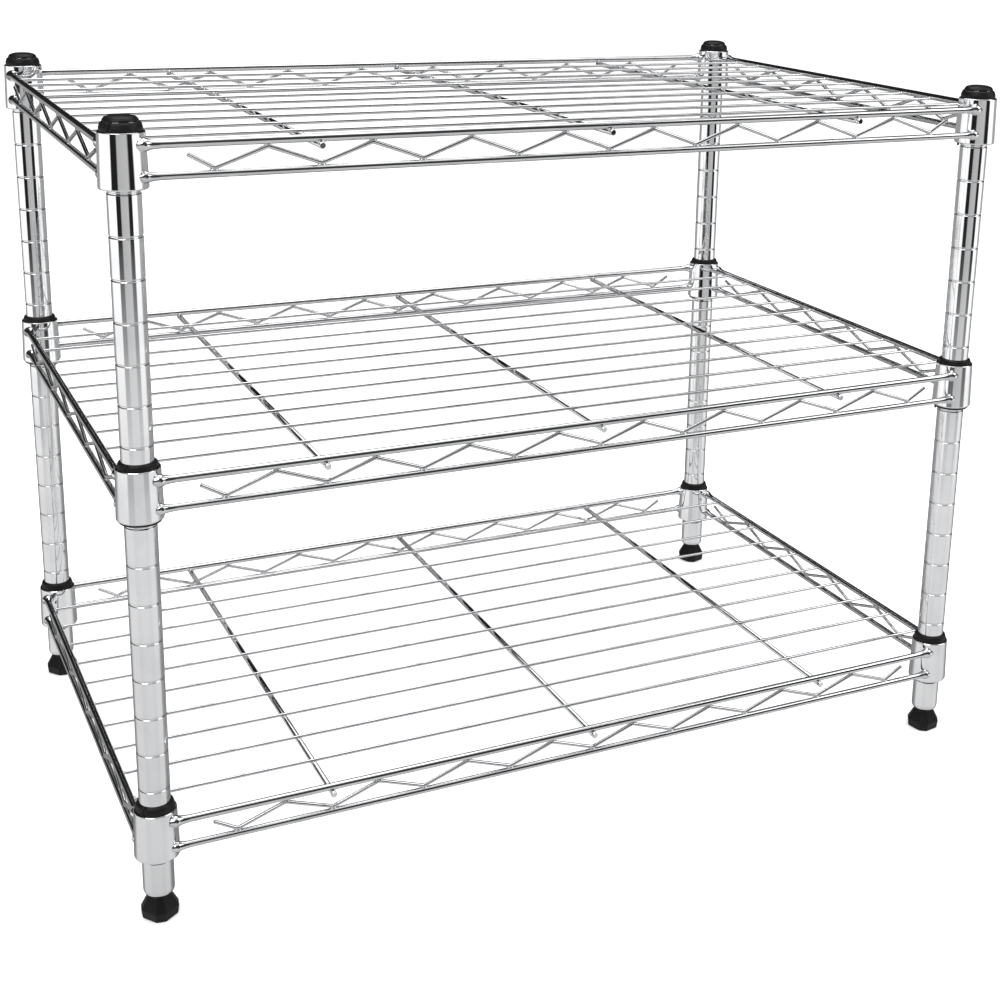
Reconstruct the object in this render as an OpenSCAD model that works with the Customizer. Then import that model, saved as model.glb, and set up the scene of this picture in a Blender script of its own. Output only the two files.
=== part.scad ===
// Three-tier wire shoe rack on four grooved posts. Millimetres.
// X is the long side, front is -Y, Z is up, and the origin is on the floor under the middle.

/* [Frame] */
// Distance between post centres along the long side
post_span_x = 616; // [600:1:640]
// Distance between post centres from front to back
post_span_y = 376; // [366:1:400]
// Outer diameter of a post tube
post_d = 20; // [19.8:0.05:20]
// Wall of a post tube
post_wall = 1; // [0.8:0.1:1.2]
// Length of a post tube
post_length = 498; // [496:1:520]
// Height of the lower end of the tubes above the floor
post_lift = 17; // [17:0.5:20]
// Spacing of the ring grooves along a post
groove_pitch = 25.4; // [25.4:0.1:25.4]
// Depth of a ring groove
groove_depth = 0.5; // [0.3:0.05:0.5]

/* [Shelves] */
// Grooves between the bottom and the middle shelf
middle_step = 9; // [8:1:9]
// Grooves between the bottom and the top shelf
top_step = 17; // [17:1:17]
// How much higher the middle shelf seats on its sleeves
middle_seat = 1.6; // [0:0.1:2]
// Height of a shelf collar
collar_h = 33; // [32:0.5:33]
// Outer radius of a collar at its lower edge
collar_r_low = 14.5; // [14.4:0.05:14.6]
// Outer radius of a collar at its upper edge
collar_r_top = 13.65; // [13.6:0.05:13.8]
// Distance of the rails outside the line through the post centres
rail_offset = 10; // [9:0.5:11]
// Height of the lower rail above the collar's lower edge
rail_low_z = 7.3; // [7:0.1:8]
// Height of the upper rail above the collar's lower edge
rail_top_z = 25.7; // [25:0.1:26]
// Radius of the upper rail wire
rail_top_r = 2.45; // [2.3:0.05:2.5]
// Radius of the lower rail wire
rail_low_r = 2.2; // [2:0.05:2.3]
// Radius of the cross bars
bar_r = 2.05; // [1.9:0.05:2.1]
// Spacing of the three cross bars
bar_pitch = 194; // [186:1:200]
// Radius of the deck wires
deck_r = 1.15; // [1:0.05:1.25]
// Number of deck wires
deck_count = 10; // [8:2:12]
// Spacing of the deck wires
deck_pitch = 35.2; // [30:0.1:36]

/* [Zigzag wire] */
// Radius of the zigzag wire
zig_r = 1.3; // [1.1:0.05:1.4]
// Spacing of the zigzag's lower bends along the front and back
zig_pitch_x = 64.5; // [62:0.1:64.5]
// Spacing of the zigzag's lower bends along the sides
zig_pitch_y = 69; // [66:0.5:69]

/* [Sleeves] */
// Height of a sleeve
sleeve_h = 38.5; // [38:0.5:39]
// Outer radius of a sleeve at its lower edge
sleeve_r = 13.25; // [13.2:0.01:13.3]
// Loss of sleeve radius for each millimetre of height
sleeve_taper = 0.0245; // [0.024:0.0001:0.025]
// Height of the sleeve's inner rib above its lower edge
rib_z = 23.3; // [23.3:0.1:23.3]
// Running clearance between sleeve and collar
collar_gap = 0.08; // [0.05:0.01:0.1]

/* [Feet] */
// Half the width of a foot pad
pad_half = 12; // [11:0.25:12.5]
// Radius of the levelling stud
stud_r = 4; // [3.9:0.05:4]
// Length of the levelling stud
stud_length = 35; // [33:1:35]

/* [Hidden] */
$fn = 96;
post_r = post_d / 2;
bore_r = post_r - post_wall;
post_top = post_lift + post_length;
groove_count = floor((post_length - 10) / groove_pitch);
corner_x = post_span_x / 2;
corner_y = post_span_y / 2;
rail_x = corner_x + rail_offset;
rail_y = corner_y + rail_offset;
seat_z = 2 * groove_pitch - rib_z;
shelf_step = [0, middle_step, top_step];
shelf_seat = [0, middle_seat, 0];
bar_z = rail_top_z - rail_top_r - bar_r + 0.3;
deck_z = bar_z + bar_r + deck_r - 0.25;
zig_top_z = rail_top_z - rail_top_r - zig_r + 0.08;
zig_low_z = rail_low_z + rail_low_r + zig_r - 0.08;
deck_end = rail_x - sqrt(rail_top_r * rail_top_r - pow(rail_top_z - deck_z, 2)) - 0.1;
pad_flat = 0.28 * pad_half;
pad_top = post_lift - 0.3;
insert_z = post_lift + 3.6;
insert_h = 12;
chrome = [0.78, 0.79, 0.8];
black = [0.05, 0.05, 0.05];

// Height of a shelf's sleeves and of its collars above the floor
function sleeve_z(shelf) = post_lift + shelf_step[shelf] * groove_pitch + seat_z;
function collar_z(shelf) = sleeve_z(shelf) + shelf_seat[shelf];

// Outer radius of a sleeve at a height above its lower edge
function sleeve_radius(h) = sleeve_r - sleeve_taper * h;

// The four points of one ring groove, from its lower to its upper edge
function groove_points(z) = [
  [post_r, z - 0.6], [post_r - groove_depth, z - 0.3],
  [post_r - groove_depth, z + 0.3], [post_r, z + 0.6]
];

module at_corner(sx, sy) {
  translate([sx * corner_x, sy * corner_y, 0])
    children();
}

module at_corners() {
  for (sx = [-1, 1])
    for (sy = [-1, 1])
      at_corner(sx, sy)
        children();
}

// Tube with ring grooves and its lower end turned inwards
module post() {
  foot = [[bore_r - 1.6, 1.3], [7.6, 1.1], [7.6, 0], [8.7, 0.35], [9.5, 1.2], [9.9, 2.4], [post_r, 3.6]];
  grooves = [for (i = [1:groove_count]) each groove_points(i * groove_pitch)];
  head = [[post_r, post_length], [bore_r, post_length], [bore_r, 3.6], [bore_r - 0.4, 2.3]];
  color(chrome)
    translate([0, 0, post_lift])
      rotate_extrude()
        polygon(concat(foot, grooves, head));
}

// Domed plug pressed into the top of a tube
module cap() {
  color(black)
    translate([0, 0, post_top])
      rotate_extrude()
        polygon([
          [0, -9], [bore_r - 0.5, -9], [bore_r, -8], [bore_r, 0], [10.3, 0], [10.3, 0.6],
          [9.9, 1.7], [8.6, 2.7], [6, 3.3], [3, 3.5], [0, 3.5]
        ]);
}

// Threaded bush pressed into the bottom of a tube
module insert() {
  color(black)
    difference() {
      translate([0, 0, insert_z])
        cylinder(r = bore_r, h = insert_h);
      translate([0, 0, insert_z - 1])
        cylinder(r = stud_r + 0.05, h = insert_h + 2);
    }
}

// Levelling stud, standing in its pad and screwed into the bush
module stud() {
  color(chrome)
    translate([0, 0, 7])
      union() {
        cylinder(r = stud_r, h = stud_length - 1);
        translate([0, 0, stud_length - 1])
          cylinder(r1 = stud_r, r2 = stud_r - 0.8, h = 1);
      }
}

// Eight-sided plan of a pad: four long slanting sides and four short flats
function pad_plan(k) = [for (p = [
  [1, -0.28], [1, 0.28], [0.28, 1], [-0.28, 1],
  [-1, 0.28], [-1, -0.28], [-0.28, -1], [0.28, -1]
]) p * pad_half * k];

// Faceted pad: a standing band, a flare and a narrow neck under the tube
module pad(turn) {
  levels = [[0, 0.9], [0.8, 0.94], [6.2, 1], [15.2, 0.62], [pad_top, 0.6]];
  last = len(levels) - 1;
  points = [for (l = levels) for (p = pad_plan(l[1])) [p[0], p[1], l[0]]];
  sides = [for (i = [0:last - 1]) for (j = [0:7])
    [i * 8 + j, (i + 1) * 8 + j, (i + 1) * 8 + (j + 1) % 8, i * 8 + (j + 1) % 8]];
  floor_face = [[for (j = [0:7]) j]];
  top_face = [[for (j = [7:-1:0]) last * 8 + j]];
  color(black)
    difference() {
      rotate([0, 0, turn])
        polyhedron(points = points, faces = concat(floor_face, sides, top_face));
      translate([0, 0, 6.9])
        cylinder(r = stud_r + 0.05, h = post_lift);
    }
}

// Two half sleeves round a post, with a rib in one groove and a tab at one seam
module sleeve(shelf, seam) {
  z = sleeve_z(shelf);
  color(black)
    translate([0, 0, z])
      rotate([0, 0, seam])
        difference() {
          union() {
            rotate_extrude()
              polygon([
                [post_r + 0.04, 0], [sleeve_r - 0.4, 0], [sleeve_radius(0.4), 0.4],
                [sleeve_radius(34.6), 34.6], [11, sleeve_h - 0.4], [10.6, sleeve_h],
                [post_r + 0.04, sleeve_h], [post_r + 0.04, rib_z + 0.7], [post_r - 0.38, rib_z + 0.28],
                [post_r - 0.38, rib_z - 0.28], [post_r + 0.04, rib_z - 0.7]
              ]);
            translate([post_r + 0.5, 0.3, -2.4])
              cube([1.4, 3.4, 3]);
          }
          translate([-20, -0.2, -5])
            cube([40, 0.4, sleeve_h + 10]);
        }
}

// Solid cone of a collar's outside, to trim the wires that end on it
module collar_outside(shelf) {
  translate([0, 0, collar_z(shelf)])
    cylinder(r1 = collar_r_low, r2 = collar_r_top, h = collar_h);
}

// The four tapered collars of a shelf
module collars(shelf) {
  low = sleeve_radius(shelf_seat[shelf]) + collar_gap;
  top = sleeve_radius(shelf_seat[shelf] + collar_h) + collar_gap;
  color(chrome)
    at_corners()
      translate([0, 0, collar_z(shelf)])
        rotate_extrude()
          polygon([
            [low, 0], [collar_r_low - 0.7, 0], [collar_r_low - 0.2, 0.25], [collar_r_low, 0.8],
            [collar_r_top, collar_h - 0.4], [collar_r_top - 0.35, collar_h], [top, collar_h]
          ]);
}

// One straight rail along X with a flared weld at each end
module long_rail(span, r) {
  for (s = [0, 180])
    rotate([0, 0, s]) {
      rotate([0, 90, 0])
        cylinder(r = r, h = span, $fn = 48);
      translate([span - 14.5, 0, 0])
        rotate([0, 90, 0])
          cylinder(r1 = r - 0.05, r2 = r + 1.7, h = 7, $fn = 48);
    }
}

// The four rails of one level, trimmed where they meet the collars
module rails(shelf, z, r) {
  color(chrome)
    difference() {
      translate([0, 0, collar_z(shelf) + z])
        union() {
          for (s = [-1, 1])
            translate([0, s * rail_y, 0])
              long_rail(corner_x, r);
          for (s = [-1, 1])
            translate([s * rail_x, 0, 0])
              rotate([0, 0, 90])
                long_rail(corner_y, r);
        }
      at_corners()
        collar_outside(shelf);
    }
}

// Centre line of a zigzag wire as [along, height] points, with a short flat at each bend
function zig_path(pitch, lows, tail, rise) = let (
  half = (lows - 1) / 2 * pitch,
  inner = [for (i = [0:2 * (lows - 1)]) for (s = [-1, 1])
    [i * pitch / 2 - half + s * 1.4, i % 2 == 0 ? zig_low_z : zig_top_z]]
) concat([[-half - tail, zig_low_z + rise]], inner, [[half + tail, zig_low_z + rise]]);

// The eight points round one bend of the wire, on the plane that halves the bend
function unit(v) = v / norm(v);
function zig_ring(path, i) = let (
  last = len(path) - 1,
  before = unit(i > 0 ? path[i] - path[i - 1] : path[1] - path[0]),
  after = unit(i < last ? path[i + 1] - path[i] : path[last] - path[last - 1]),
  up = unit([-before[1] - after[1], before[0] + after[0]]),
  reach = zig_r / (before[0] * up[1] - before[1] * up[0])
) [for (a = [0:45:315]) [path[i][0] + reach * cos(a) * up[0], zig_r * sin(a), path[i][1] + reach * cos(a) * up[1]]];

// One zigzag wire along X
module zigzag_wire(path) {
  last = len(path) - 1;
  points = [for (i = [0:last]) each zig_ring(path, i)];
  sides = [for (i = [0:last - 1]) for (j = [0:7])
    [i * 8 + j, i * 8 + (j + 1) % 8, (i + 1) * 8 + (j + 1) % 8, (i + 1) * 8 + j]];
  start = [[for (j = [7:-1:0]) j]];
  finish = [[for (j = [0:7]) last * 8 + j]];
  polyhedron(points = points, faces = concat(start, sides, finish));
}

// The four zigzag wires of a shelf
module zigzag(shelf) {
  color(chrome)
    translate([0, 0, collar_z(shelf)]) {
      for (s = [-1, 1])
        translate([0, s * rail_y, 0])
          zigzag_wire(zig_path(zig_pitch_x, 9, 15, 8.6));
      for (s = [-1, 1])
        translate([s * rail_x, 0, 0])
          rotate([0, 0, 90])
            zigzag_wire(zig_path(zig_pitch_y, 5, 25, 8));
    }
}

// The three bars under the deck, from the front rail to the back rail
module cross_bars(shelf) {
  color(chrome)
    for (i = [-1:1])
      translate([i * bar_pitch, 0, collar_z(shelf) + bar_z])
        rotate([90, 0, 0])
          cylinder(r = bar_r, h = 2 * (corner_y + collar_r_low - 0.2), center = true, $fn = 48);
}

// The deck wires, lying on the cross bars and ending on the side rails
module deck_wires(shelf) {
  color(chrome)
    for (i = [0:deck_count - 1])
      translate([0, (i - (deck_count - 1) / 2) * deck_pitch, collar_z(shelf) + deck_z])
        rotate([0, 90, 0])
          cylinder(r = deck_r, h = 2 * deck_end, center = true, $fn = 32);
}

at_corner(-1, -1) post();  // post_front_left
at_corner(1, -1) post();  // post_front_right
at_corner(-1, 1) post();  // post_back_left
at_corner(1, 1) post();  // post_back_right
at_corner(-1, -1) cap();  // cap_front_left
at_corner(1, -1) cap();  // cap_front_right
at_corner(-1, 1) cap();  // cap_back_left
at_corner(1, 1) cap();  // cap_back_right
at_corner(-1, -1) insert();  // insert_front_left
at_corner(1, -1) insert();  // insert_front_right
at_corner(-1, 1) insert();  // insert_back_left
at_corner(1, 1) insert();  // insert_back_right
at_corner(-1, -1) stud();  // stud_front_left
at_corner(1, -1) stud();  // stud_front_right
at_corner(-1, 1) stud();  // stud_back_left
at_corner(1, 1) stud();  // stud_back_right
at_corner(-1, -1) pad(-9);  // pad_front_left
at_corner(1, -1) pad(-35);  // pad_front_right
at_corner(-1, 1) pad(-7);  // pad_back_left
at_corner(1, 1) pad(-27);  // pad_back_right
at_corner(-1, -1) sleeve(0, 45);  // bottom_sleeve_front_left
at_corner(1, -1) sleeve(0, 135);  // bottom_sleeve_front_right
at_corner(-1, 1) sleeve(0, -45);  // bottom_sleeve_back_left
at_corner(1, 1) sleeve(0, -135);  // bottom_sleeve_back_right
at_corner(-1, -1) sleeve(1, 45);  // middle_sleeve_front_left
at_corner(1, -1) sleeve(1, 135);  // middle_sleeve_front_right
at_corner(-1, 1) sleeve(1, -45);  // middle_sleeve_back_left
at_corner(1, 1) sleeve(1, -135);  // middle_sleeve_back_right
at_corner(-1, -1) sleeve(2, 45);  // top_sleeve_front_left
at_corner(1, -1) sleeve(2, 135);  // top_sleeve_front_right
at_corner(-1, 1) sleeve(2, -45);  // top_sleeve_back_left
at_corner(1, 1) sleeve(2, -135);  // top_sleeve_back_right
collars(0);  // bottom_collars
rails(0, rail_top_z, rail_top_r);  // bottom_upper_rails
rails(0, rail_low_z, rail_low_r);  // bottom_lower_rails
zigzag(0);  // bottom_zigzag
cross_bars(0);  // bottom_cross_bars
deck_wires(0);  // bottom_deck_wires
collars(1);  // middle_collars
rails(1, rail_top_z, rail_top_r);  // middle_upper_rails
rails(1, rail_low_z, rail_low_r);  // middle_lower_rails
zigzag(1);  // middle_zigzag
cross_bars(1);  // middle_cross_bars
deck_wires(1);  // middle_deck_wires
collars(2);  // top_collars
rails(2, rail_top_z, rail_top_r);  // top_upper_rails
rails(2, rail_low_z, rail_low_r);  // top_lower_rails
zigzag(2);  // top_zigzag
cross_bars(2);  // top_cross_bars
deck_wires(2);  // top_deck_wires
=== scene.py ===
import math
import random

import bmesh
import bpy
from mathutils import Matrix, Vector


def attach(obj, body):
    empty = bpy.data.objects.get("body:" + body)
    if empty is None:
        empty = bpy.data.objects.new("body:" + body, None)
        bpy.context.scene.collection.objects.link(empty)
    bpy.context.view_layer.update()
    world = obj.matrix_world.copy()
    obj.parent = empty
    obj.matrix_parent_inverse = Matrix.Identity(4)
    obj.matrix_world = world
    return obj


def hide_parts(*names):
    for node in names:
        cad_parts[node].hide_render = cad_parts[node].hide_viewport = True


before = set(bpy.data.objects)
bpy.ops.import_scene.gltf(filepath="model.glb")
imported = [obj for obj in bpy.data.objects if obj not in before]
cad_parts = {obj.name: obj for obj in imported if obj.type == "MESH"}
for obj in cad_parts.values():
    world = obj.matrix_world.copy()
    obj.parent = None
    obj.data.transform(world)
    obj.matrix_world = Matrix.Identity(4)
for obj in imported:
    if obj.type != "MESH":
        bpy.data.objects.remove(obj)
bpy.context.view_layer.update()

# ---------------------------------------------------------------- Post tubes
# Four steel tubes, 20 mm across with a 1 mm wall, in bright chrome plate. Ring grooves are
# rolled into them one inch apart, and the lower end is turned in round the foot's bush.
mm = 0.001
CORNERS = {
    "front_left": (-308, -188),
    "front_right": (308, -188),
    "back_left": (-308, 188),
    "back_right": (308, 188),
}
POST_LOW, POST_TOP, POST_R, BORE_R, GROOVE_STEP = 17, 515, 10, 9, 25.4


class Socket:
    """One output in a finish's nodes. Sums and products of it add Math nodes."""

    def __init__(self, finish, output):
        self.finish, self.output = finish, output

    def reckon(self, operation, first, second):
        return self.finish.node("ShaderNodeMath", {"operation": operation}, {0: first, 1: second})

    def __add__(self, other):
        return self.reckon("ADD", self, other)

    def __radd__(self, other):
        return self.reckon("ADD", other, self)

    def __sub__(self, other):
        return self.reckon("SUBTRACT", self, other)

    def __rsub__(self, other):
        return self.reckon("SUBTRACT", other, self)

    def __mul__(self, other):
        return self.reckon("MULTIPLY", self, other)

    def __rmul__(self, other):
        return self.reckon("MULTIPLY", other, self)


class Finish:
    """A material with one Principled shader, whose constants are set on its own sockets."""

    def __init__(self, name, **constants):
        self.material = bpy.data.materials.new(name)
        self.material.use_nodes = True
        self.tree = self.material.node_tree
        self.shader = self.tree.nodes["Principled BSDF"]
        for socket, value in constants.items():
            self.shader.inputs[socket.replace("_", " ")].default_value = value

    def node(self, kind, settings={}, values={}, output=0):
        made = self.tree.nodes.new(kind)
        for key, setting in settings.items():
            if key == "stops":
                ramp = made.color_ramp.elements
                while len(ramp) < len(setting):
                    ramp.new(1)
                for element, (place, shade) in zip(ramp, setting):
                    element.position, element.color = place, (shade, shade, shade, 1)
            else:
                setattr(made, key, setting)
        for key, value in values.items():
            if isinstance(value, Socket):
                self.tree.links.new(value.output, made.inputs[key])
            else:
                made.inputs[key].default_value = value
        return Socket(self, made.outputs[output])

    def place(self):
        return self.node("ShaderNodeTexCoord", output="Object")

    def noise(self, scale, detail=2.0, where=None):
        values = {"Vector": where or self.place(), "Scale": scale, "Detail": detail}
        return self.node("ShaderNodeTexNoise", {}, values)

    def blend(self, mask, first, second):
        values = {"Factor": mask, 6: (*first, 1), 7: (*second, 1)}
        return self.node("ShaderNodeMix", {"data_type": "RGBA"}, values, 2)

    def feed(self, socket, value):
        self.tree.links.new(value.output, self.shader.inputs[socket])

    def emboss(self, height, strength, depth):
        values = {"Height": height, "Strength": strength, "Distance": depth * mm}
        self.feed("Normal", self.node("ShaderNodeBump", {}, values))


def chrome_plate(name, bright, dull, gloss, haze, stretch=1.0):
    """Chrome over steel: a mirror with faint haze and the long slight waves of drawn metal."""
    finish = Finish(name, Metallic=1.0)
    drawn = finish.node("ShaderNodeMapping", {}, {"Vector": finish.place(), "Scale": (1, 1, stretch)})
    patches = finish.noise(38, 3)
    mask = finish.node("ShaderNodeValToRGB", {"stops": [(0.42, 0), (0.68, 1)]}, {"Fac": patches})
    finish.feed("Base Color", finish.blend(mask, bright, dull))
    finish.feed("Roughness", gloss + mask * haze)
    finish.emboss(finish.noise(220, 2, drawn), 0.09, 0.15)
    return finish.material


def link(name, data):
    piece = bpy.data.objects.new(name, data)
    bpy.context.scene.collection.objects.link(piece)
    return piece


def rounded(corners, steps=4, support=True, closed=False):
    """A path through (x, z, radius) corners, with each corner that has a radius rounded off."""
    path = []
    for i, (x, z, radius) in enumerate(corners):
        if not radius or not closed and i in (0, len(corners) - 1):
            path.append((x, z))
            continue
        ends = []
        for j in (i - 1, (i + 1) % len(corners)):
            along = (corners[j][0] - x, corners[j][1] - z)
            span = math.hypot(*along)
            ends.append((along[0] / span, along[1] / span, span))
        (ax, az, a_span), (bx, bz, b_span) = ends
        half = math.acos(max(-1, min(1, ax * bx + az * bz))) / 2
        reach = min(radius / math.tan(half), 0.42 * a_span, 0.42 * b_span)
        if support and a_span > 3 * reach:
            path.append((x + ax * reach * 1.3, z + az * reach * 1.3))
        for k in range(steps + 1):
            u = k / steps
            s, t = reach * (1 - u) ** 2, reach * u ** 2
            path.append((x + ax * s + bx * t, z + az * s + bz * t))
        if support and b_span > 3 * reach:
            path.append((x + bx * reach * 1.3, z + bz * reach * 1.3))
    return path


def turned(name, outline, steps=48, sweep=360, closed=True):
    """A cage of an (r, z) outline in millimetres, turned about Z by a live Screw."""
    mesh = bpy.data.meshes.new(name)
    count = len(outline)
    edges = [(i, (i + 1) % count) for i in range(count if closed else count - 1)]
    mesh.from_pydata([(r * mm, 0, z * mm) for r, z in outline], edges, [])
    cage = link(name, mesh)
    screw = cage.modifiers.new("turn", "SCREW")
    screw.angle = math.radians(sweep)
    screw.steps = screw.render_steps = steps
    screw.use_smooth_shade = True
    screw.use_merge_vertices = True
    screw.merge_threshold = 1e-6
    return cage


def placed(cage, name, *places):
    """The cage's finished mesh at each place, closed and facing outwards, as one piece."""
    finished = cage.evaluated_get(bpy.context.evaluated_depsgraph_get())
    mesh = bpy.data.meshes.new(name)
    body = bmesh.new()
    for place in places:
        copy = bpy.data.meshes.new_from_object(finished)
        copy.transform(place)
        body.from_mesh(copy)
        bpy.data.meshes.remove(copy)
    bmesh.ops.remove_doubles(body, verts=body.verts, dist=2e-6)
    bmesh.ops.holes_fill(body, edges=body.edges)
    bmesh.ops.recalc_face_normals(body, faces=body.faces)
    body.to_mesh(mesh)
    body.free()
    return link(name, mesh)


def at(corner, z=0, turn=0):
    x, y = CORNERS[corner]
    return Matrix.Translation((x * mm, y * mm, z * mm)) @ Matrix.Rotation(math.radians(turn), 4, "Z")


def finish_piece(piece, material, body, slot, *nodes):
    """Gives a piece its material and its body, and hides the CAD nodes that it stands for."""
    piece.data.materials.clear()
    piece.data.materials.append(material)
    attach(piece, body)
    if nodes:
        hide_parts(*nodes)


tube_chrome = chrome_plate("tube_chrome", (0.86, 0.865, 0.875), (0.79, 0.795, 0.81), 0.045, 0.05, 0.03)
outline = [(BORE_R, 498, 0), (9.25, 498, 0), (POST_R, 498, 0.35)]
for i in range(19, 0, -1):
    z = i * GROOVE_STEP
    outline += [(POST_R, z + 0.75, 0.5), (9.5, z + 0.35, 0.3), (9.5, z - 0.35, 0.3), (POST_R, z - 0.75, 0.5)]
outline += [(POST_R, 3.6, 2), (9.9, 2.4, 0.6), (9.5, 1.2, 0.6), (8.7, 0.35, 0.5), (7.6, 0, 0)]
outline += [(7.6, 1.1, 0), (8.6, 2.3, 0.3), (BORE_R, 3.6, 0)]
cage = turned("post", rounded(outline, 3), 56)
for corner in CORNERS:
    post = placed(cage, f"post_tube_{corner}", at(corner, POST_LOW))
    finish_piece(post, tube_chrome, "posts", "chrome_tube", f"post_{corner}")
bpy.data.objects.remove(cage)

# ---------------------------------------------------------------- Post caps
# Four domed plugs of black moulded plastic with a satin skin. Each is pushed into the top of
# a tube, and its head covers the tube's rim.


def moulded_plastic(name, shade, gloss, grain):
    """Black plastic with the fine pitted skin of its mould and slightly uneven gloss."""
    finish = Finish(name, Specular_IOR_Level=0.22)
    cloud = finish.noise(120, 3)
    finish.feed("Base Color", finish.blend(cloud, (shade, shade, shade * 0.96), (shade * 1.7,) * 3))
    finish.feed("Roughness", gloss + cloud * 0.14)
    finish.emboss(finish.noise(2600, 3), grain, 0.06)
    return finish.material


cap_black = moulded_plastic("cap_black", 0.004, 0.3, 0.12)
outline = [(0, 3.5, 0), (3, 3.42, 1), (6.4, 3.1, 3), (9, 2.3, 2)]
outline += [(10.15, 1, 0.8), (10.3, 0.5, 0.4), (10.3, 0, 0.15)]
outline += [(BORE_R, 0, 0), (BORE_R, -8, 0.3), (8.4, -9, 0.3), (0, -9, 0)]
cage = turned("cap", rounded(outline, 4), 48, closed=False)
for corner in CORNERS:
    cap = placed(cage, f"post_cap_{corner}", at(corner, POST_TOP))
    finish_piece(cap, cap_black, "posts", "black_plastic", f"cap_{corner}")
bpy.data.objects.remove(cage)

# ---------------------------------------------------------------- Bushes and levelling studs
# A threaded plastic bush is pressed into the bottom of each tube. A zinc-plated M8 stud with
# a rolled 1.25 mm thread screws up into it, and shows only when a foot is wound out.
bush_black = moulded_plastic("bush_black", 0.006, 0.45, 0.1)
for corner in CORNERS:
    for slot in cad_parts[f"insert_{corner}"].material_slots:
        slot.material = bush_black

stud_zinc = chrome_plate("stud_zinc", (0.62, 0.63, 0.64), (0.5, 0.5, 0.5), 0.22, 0.12)
THREAD_PITCH, THREAD_TURNS, STUD_LOW = 1.25, 27, 7.05
ridge = [(3.38, THREAD_PITCH), (3.95, 0.8), (3.95, 0.62), (3.38, 0.12), (3.38, 0)]
cage = turned("stud", ridge, 24, closed=False)
cage.modifiers["turn"].screw_offset = THREAD_PITCH * mm
cage.modifiers["turn"].iterations = THREAD_TURNS
for corner in CORNERS:
    stud = placed(cage, f"levelling_stud_{corner}", at(corner, STUD_LOW))
    finish_piece(stud, stud_zinc, f"{corner}_stud", "stud_steel", f"stud_{corner}")
bpy.data.objects.remove(cage)

# ---------------------------------------------------------------- Foot pads
# Eight-sided feet of black moulded plastic: a short standing band, then a faceted flare that
# narrows under the tube. Each is moulded round the head of its stud and turns with it.
PAD_TURNS = {"front_left": -9, "front_right": -35, "back_left": -7, "back_right": -27}
PAD_LEVELS = [(0, 0.9), (0.8, 0.94), (6.2, 1), (15.2, 0.62), (16.7, 0.6), (16.7, 0.38), (7, 0.38)]
PAD_PLAN = [(1, -0.28), (1, 0.28), (0.28, 1), (-0.28, 1), (-1, 0.28), (-1, -0.28), (-0.28, -1), (0.28, -1)]
PAD_HALF, SIDES = 12, len(PAD_PLAN)
points = [
    (x * PAD_HALF * wide * mm, y * PAD_HALF * wide * mm, z * mm)
    for z, wide in PAD_LEVELS for x, y in PAD_PLAN
]
faces = [list(range(SIDES - 1, -1, -1)), list(range(len(points) - SIDES, len(points)))]
for ring in range(len(PAD_LEVELS) - 1):
    for i in range(SIDES):
        a, b = ring * SIDES + i, ring * SIDES + (i + 1) % SIDES
        faces.append([a, b, b + SIDES, a + SIDES])
mesh = bpy.data.meshes.new("pad")
mesh.from_pydata(points, [], faces)
cage = link("pad", mesh)
bevel = cage.modifiers.new("edges", "BEVEL")
bevel.width, bevel.segments, bevel.limit_method = 0.45 * mm, 3, "ANGLE"
bevel.angle_limit = math.radians(12)
foot_black = moulded_plastic("foot_black", 0.0035, 0.34, 0.16)
for corner in CORNERS:
    pad = placed(cage, f"foot_pad_{corner}", at(corner, 0, PAD_TURNS[corner]))
    finish_piece(pad, foot_black, f"{corner}_foot", "foot_plastic", f"pad_{corner}")
bpy.data.objects.remove(cage)

# ---------------------------------------------------------------- Split sleeves
# Twelve tapered sleeves of black plastic, each in two halves round a post. A rib inside snaps
# into a groove, a small tab hangs at one seam, and a shelf's collar wedges down over the taper.
TIERS = {"bottom": (44.5, 0), "middle": (273.1, 1.6), "top": (476.3, 0)}
SEAMS = {"front_left": 45, "front_right": 135, "back_left": -45, "back_right": -135}
outline = [(10.04, 38.5, 0.1), (10.6, 38.5, 0.2), (11.7, 37.6, 1.2), (12.38, 35.2, 0.9)]
outline += [(13.24, 0.5, 0.3), (12.85, 0, 0.2), (10.04, 0, 0.1)]
outline += [(10.04, 22.6, 0), (9.62, 23.02, 0), (9.62, 23.58, 0), (10.04, 24, 0)]
cage = turned("sleeve", rounded(outline, 3, closed=True), 26, 178)
mesh = bpy.data.meshes.new("tab")
block = bmesh.new()
shape = Matrix.Translation((11.2 * mm, 2 * mm, -0.9 * mm)) @ Matrix.Diagonal((1.4 * mm, 3.4 * mm, 3 * mm, 1))
bmesh.ops.create_cube(block, size=1, matrix=shape)
block.to_mesh(mesh)
block.free()
tab_cage = link("tab", mesh)
bevel = tab_cage.modifiers.new("edges", "BEVEL")
bevel.width, bevel.segments = 0.4 * mm, 3
sleeve_black = moulded_plastic("sleeve_black", 0.004, 0.38, 0.14)
for tier, (height, seat) in TIERS.items():
    for corner, seam in SEAMS.items():
        halves = [at(corner, height, seam + 1), at(corner, height, seam + 181)]
        sleeve = placed(cage, f"{tier}_split_sleeve_{corner}", *halves)
        finish_piece(sleeve, sleeve_black, "posts", "sleeve_plastic", f"{tier}_sleeve_{corner}")
        tab = placed(tab_cage, f"{tier}_sleeve_tab_{corner}", at(corner, height, seam))
        finish_piece(tab, sleeve_black, "posts", "sleeve_plastic")
bpy.data.objects.remove(cage)
bpy.data.objects.remove(tab_cage)

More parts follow.
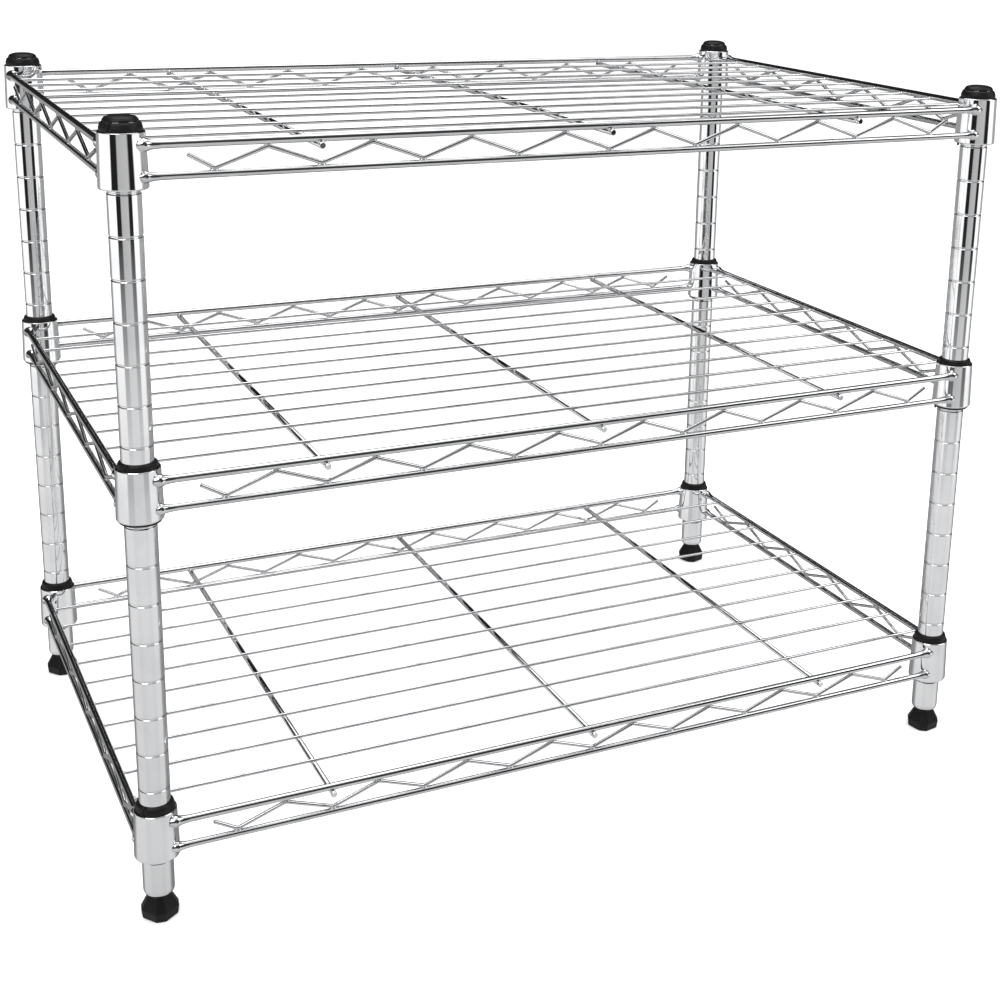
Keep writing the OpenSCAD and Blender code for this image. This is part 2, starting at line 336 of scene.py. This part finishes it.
# ---------------------------------------------------------------- Shelf collars
# Each shelf has a tapered steel collar at every corner, pressed from sheet, with a rolled
# lower edge. The shelf's rails are welded to it, and the whole shelf is plated as one.
collar_chrome = chrome_plate("collar_chrome", (0.86, 0.865, 0.875), (0.78, 0.785, 0.8), 0.04, 0.06, 0.12)
outline = [(12.52, 33, 0.1), (13.3, 33, 0.15), (13.65, 32.6, 0.35)]
outline += [(14.5, 0.9, 0.8), (14.2, 0.15, 0.5), (13.7, 0, 0.3), (13.35, 0, 0.1)]
cage = turned("collar", rounded(outline, 4, closed=True), 64)
for tier, (height, seat) in TIERS.items():
    collars = placed(cage, f"{tier}_shelf_collars", *[at(corner, height + seat) for corner in CORNERS])
    finish_piece(collars, collar_chrome, f"{tier}_shelf", "chrome_collar", f"{tier}_collars")
bpy.data.objects.remove(cage)

# ---------------------------------------------------------------- Shelf rails
# Two levels of round steel rail run outside the post centres on all four sides. The thicker
# one carries the deck. Each end is welded to its collar with a bead that swells like a funnel.
RAIL_X, RAIL_Y, UPPER_Z, LOWER_Z = 318, 198, 25.7, 7.3
UPPER_R, LOWER_R = 2.45, 2.2
WELD = [(4, 0.9), (7, 1.25), (9, 1.62), (10.4, 1.7), (12, 1.5), (14, 1.22), (16.5, 1.08), (20, 1)]


def wires(name, runs, radius, sides=8):
    """Round wires through (x, y, z, thickness) points in millimetres, as one curve."""
    curve = bpy.data.curves.new(name, "CURVE")
    curve.dimensions = "3D"
    curve.bevel_depth = radius * mm
    curve.bevel_resolution = sides
    curve.use_fill_caps = True
    for run in runs:
        spline = curve.splines.new("POLY")
        spline.points.add(len(run) - 1)
        spline.use_smooth = True
        for point, (x, y, z, thick) in zip(spline.points, run):
            point.co = (x * mm, y * mm, z * mm, 1)
            point.radius = thick
    return link(name, curve)


def rail_run(half, offset, z, across):
    """A straight rail from collar to collar, along X, or along Y if across is set."""
    ends = [(-half + d, swell) for d, swell in WELD]
    ends += [(-place, swell) for place, swell in reversed(ends)]
    return [(offset, p, z, s) if across else (p, offset, z, s) for p, s in ends]


wire_chrome = chrome_plate("wire_chrome", (0.8, 0.805, 0.815), (0.69, 0.695, 0.71), 0.06, 0.07)
cone = [(0, 33.2), (13.6, 33.2), (14.46, -0.2), (0, -0.2)]
for tier, (height, seat) in TIERS.items():
    base = height + seat
    cage = turned("cone", cone, 64, closed=False)
    cutter = placed(cage, "cutter", *[at(corner, base) for corner in CORNERS])
    bpy.data.objects.remove(cage)
    for level, rise, radius in (("upper", UPPER_Z, UPPER_R), ("lower", LOWER_Z, LOWER_R)):
        runs = [rail_run(308, side * RAIL_Y, base + rise, False) for side in (-1, 1)]
        runs += [rail_run(188, side * RAIL_X, base + rise, True) for side in (-1, 1)]
        cage = wires("rails", runs, radius)
        plain = placed(cage, "plain_rails", Matrix())
        bpy.data.objects.remove(cage)
        cut = plain.modifiers.new("trim", "BOOLEAN")
        cut.object, cut.operation, cut.solver = cutter, "DIFFERENCE", "EXACT"
        rails = placed(plain, f"{tier}_{level}_rail_wires", Matrix())
        bpy.data.objects.remove(plain)
        finish_piece(rails, wire_chrome, f"{tier}_shelf", "chrome_wire", f"{tier}_{level}_rails")
    bpy.data.objects.remove(cutter)

# ---------------------------------------------------------------- Zigzag wires
# A thin wire bent to and fro is welded between the upper and lower rails on each side, and
# stiffens the rim. Its bends touch the rails, and its free ends stop short of the collars.
ZIG_R = 1.3
WELD_DEPTH = 0.08
ZIG_LOW, ZIG_TOP = LOWER_Z + LOWER_R + ZIG_R - WELD_DEPTH, UPPER_Z - UPPER_R - ZIG_R + WELD_DEPTH


def zig_run(lows, pitch, tail, rise):
    """The bends of one zigzag wire as rounded (along, height) points."""
    half = (lows - 1) / 2 * pitch
    bends = [(-half - tail, ZIG_LOW + rise, 0)]
    bends += [(i * pitch / 2 - half, ZIG_TOP if i % 2 else ZIG_LOW, 3.2) for i in range(2 * lows - 1)]
    bends += [(half + tail, ZIG_LOW + rise, 0)]
    return rounded(bends, 4, support=False)


for tier, (height, seat) in TIERS.items():
    base = height + seat
    runs = [[(p, side * RAIL_Y, base + z, 1) for p, z in zig_run(9, 64.5, 15, 8.6)] for side in (-1, 1)]
    runs += [[(side * RAIL_X, p, base + z, 1) for p, z in zig_run(5, 69, 25, 8)] for side in (-1, 1)]
    zigzag = wires(f"{tier}_zigzag_wires", runs, ZIG_R, 5)
    finish_piece(zigzag, wire_chrome, f"{tier}_shelf", "chrome_wire", f"{tier}_zigzag")

# ---------------------------------------------------------------- Cross bars
# Three bars pass under the front and back rails and are welded there. Their cropped ends have
# a small chamfer and stand a little proud of the rail.
BAR_R, BAR_END = 2.05, 202.3
BAR_Z = UPPER_Z - UPPER_R - BAR_R + 0.3
BARS_AT = (-194, 0, 194)
for tier, (height, seat) in TIERS.items():
    z = height + seat + BAR_Z
    runs = []
    for x in BARS_AT:
        ends = ((-BAR_END, 0.8), (-BAR_END + 0.35, 1), (BAR_END - 0.35, 1), (BAR_END, 0.8))
        runs.append([(x, y, z, thick) for y, thick in ends])
    bars = wires(f"{tier}_deck_cross_bars", runs, BAR_R)
    finish_piece(bars, wire_chrome, f"{tier}_shelf", "chrome_wire", f"{tier}_cross_bars")

# ---------------------------------------------------------------- Deck wires
# Ten thin wires lie on the cross bars, run the length of the shelf and end on the side rails.
# They are spot welded wherever they cross, which leaves a small swelling at each joint.
DECK_R, DECK_END = 1.15, 315.8
DECK_Z = BAR_Z + BAR_R + DECK_R - 0.25
DECK_Y = [(i - 4.5) * 35.2 for i in range(10)]
for tier, (height, seat) in TIERS.items():
    z = height + seat + DECK_Z
    runs = [[(-DECK_END, y, z, 1), (DECK_END, y, z, 1)] for y in DECK_Y]
    deck = wires(f"{tier}_deck_wire_set", runs, DECK_R, 5)
    finish_piece(deck, wire_chrome, f"{tier}_shelf", "chrome_wire", f"{tier}_deck_wires")

chance = random.Random(7)
for tier, (height, seat) in TIERS.items():
    base = height + seat
    body = bmesh.new()
    spots = [(x, y, base + DECK_Z - 1.0, 2.1, 1.7, 0.75) for x in BARS_AT for y in DECK_Y]
    spots += [(side * 315.2, y, base + DECK_Z, 1.5, 1.7, 1.35) for side in (-1, 1) for y in DECK_Y]
    spots += [(x, side * RAIL_Y, base + BAR_Z + 1.9, 2.7, 2.2, 1.2) for side in (-1, 1) for x in BARS_AT]
    for i in range(17):
        z = ZIG_TOP + 1.1 if i % 2 else ZIG_LOW - 1.1
        spots += [(i * 32.25 - 258, side * RAIL_Y, base + z, 2.6, 1.45, 0.85) for side in (-1, 1)]
    for i in range(9):
        z = ZIG_TOP + 1.1 if i % 2 else ZIG_LOW - 1.1
        spots += [(side * RAIL_X, i * 34.5 - 138, base + z, 1.45, 2.6, 0.85) for side in (-1, 1)]
    for x, y, z, wide, deep, tall in spots:
        size = [s * chance.uniform(0.92, 1.08) * mm for s in (wide, deep, tall)]
        place = Matrix.Translation((x * mm, y * mm, z * mm)) @ Matrix.Diagonal((*size, 1))
        bmesh.ops.create_icosphere(body, subdivisions=2, radius=1, matrix=place)
    for face in body.faces:
        face.smooth = True
    mesh = bpy.data.meshes.new(f"{tier}_spot_welds")
    body.to_mesh(mesh)
    body.free()
    finish_piece(link(f"{tier}_spot_welds", mesh), wire_chrome, f"{tier}_shelf", "chrome_wire")

# ---------------------------------------------------------------- Floor, light and camera
# A pale matt floor under a bright, soft studio. Dark screens, a dim far side and a dim band
# under the ceiling give the chrome its dark lines, as in any product studio.
bpy.ops.mesh.primitive_circle_add(vertices=96, radius=3.2, fill_type="NGON", location=(0, 0, 0))
floor = bpy.context.object
floor.name = "floor"
paper = Finish("floor_paper", Roughness=0.9)
grain = paper.noise(60, 2)
paper.feed("Base Color", paper.blend(grain, (0.9, 0.9, 0.9), (0.93, 0.93, 0.93)))
floor.data.materials.append(paper.material)
floor.visible_glossy = False


class Studio(Finish):
    """The room round the rack, as one Background whose light depends on the direction alone."""

    def __init__(self, name):
        self.world = bpy.data.worlds.new(name)
        self.world.use_nodes = True
        self.tree = self.world.node_tree
        self.shader = self.tree.nodes["Background"]

    def ramp(self, value, *stops):
        return self.node("ShaderNodeValToRGB", {"stops": stops}, {"Fac": value})


studio = Studio("studio")
direction = studio.node("ShaderNodeTexCoord", output="Generated")
parts = studio.node("ShaderNodeSeparateXYZ", {}, {"Vector": direction}, 0)
across, along, up = (Socket(studio, parts.output.node.outputs[i]) for i in range(3))
FACING = math.radians(113.3)
bearing = across.reckon(
    "ARCTAN2",
    across * math.sin(FACING) + along * math.cos(FACING),
    across * math.cos(FACING) - along * math.sin(FACING),
)
circle = bearing * (0.5 / math.pi) + 0.5
WALLS = [(-180, 0.28), (-116, 0.3), (-106, 1), (-44, 1), (-40, 0.012), (-14, 0.012), (-9, 0.4), (35, 0.46),
         (42, 0.012), (62, 0.012), (67, 1), (100, 1), (108, 0.34), (180, 0.28)]
BEHIND = [(-180, 0.32), (-125, 0.36), (-100, 1), (100, 1), (125, 0.36), (180, 0.32)]
walls, behind = (
    studio.ramp(circle, *[(degrees / 360 + 0.5, shade) for degrees, shade in stops]) for stops in (WALLS, BEHIND)
)
height = up * 0.5 + 0.5
level = studio.ramp(height, (0.2, 0.5), (0.3, 0.64), (0.4, 0.7), (0.5, 0.04), (0.84, 0.03), (0.92, 0.62))
band = studio.ramp(height, (0.33, 0.04), (0.4, 1), (0.49, 1), (0.53, 0))
room = studio.node("ShaderNodeMix", {"data_type": "RGBA"}, {"Factor": band, 6: level * behind, 7: walls}, 2)
mirrored = studio.node("ShaderNodeLightPath", output="Is Glossy Ray")
studio.feed("Color", studio.node("ShaderNodeMix", {"data_type": "RGBA"}, {"Factor": mirrored, 6: (1,) * 4, 7: room}, 2))
studio.shader.inputs["Strength"].default_value = 1.25
bpy.context.scene.world = studio.world
bpy.context.scene.view_settings.view_transform = "Standard"

for name, place, size, power in (
    ("key_light", (-1.6, -1.4, 2.4), 1.8, 34),
    ("fill_light", (2.0, -1.2, 1.8), 1.6, 18),
    ("top_light", (0.2, 0.6, 2.8), 2.2, 34),
):
    lamp = bpy.data.lights.new(name, "AREA")
    lamp.shape, lamp.size, lamp.energy = "SQUARE", size, power
    light = link(name, lamp)
    light.location = place
    light.rotation_euler = (Vector(place) - Vector((0, 0, 0.25))).to_track_quat("Z", "Y").to_euler()

lens = bpy.data.cameras.new("camera")
lens.sensor_width = 36
lens.lens = 58.3
lens.shift_x, lens.shift_y = -0.083, -0.155
camera = link("camera", lens)
camera.matrix_world = (
    Matrix.Translation((-0.4848, -1.1246, 0.6422))
    @ Matrix.Rotation(math.radians(-26.84), 4, "Z")
    @ Matrix.Rotation(math.radians(90 - 15.39), 4, "X")
    @ Matrix.Rotation(math.radians(1.48), 4, "Z")
)
bpy.context.scene.camera = camera
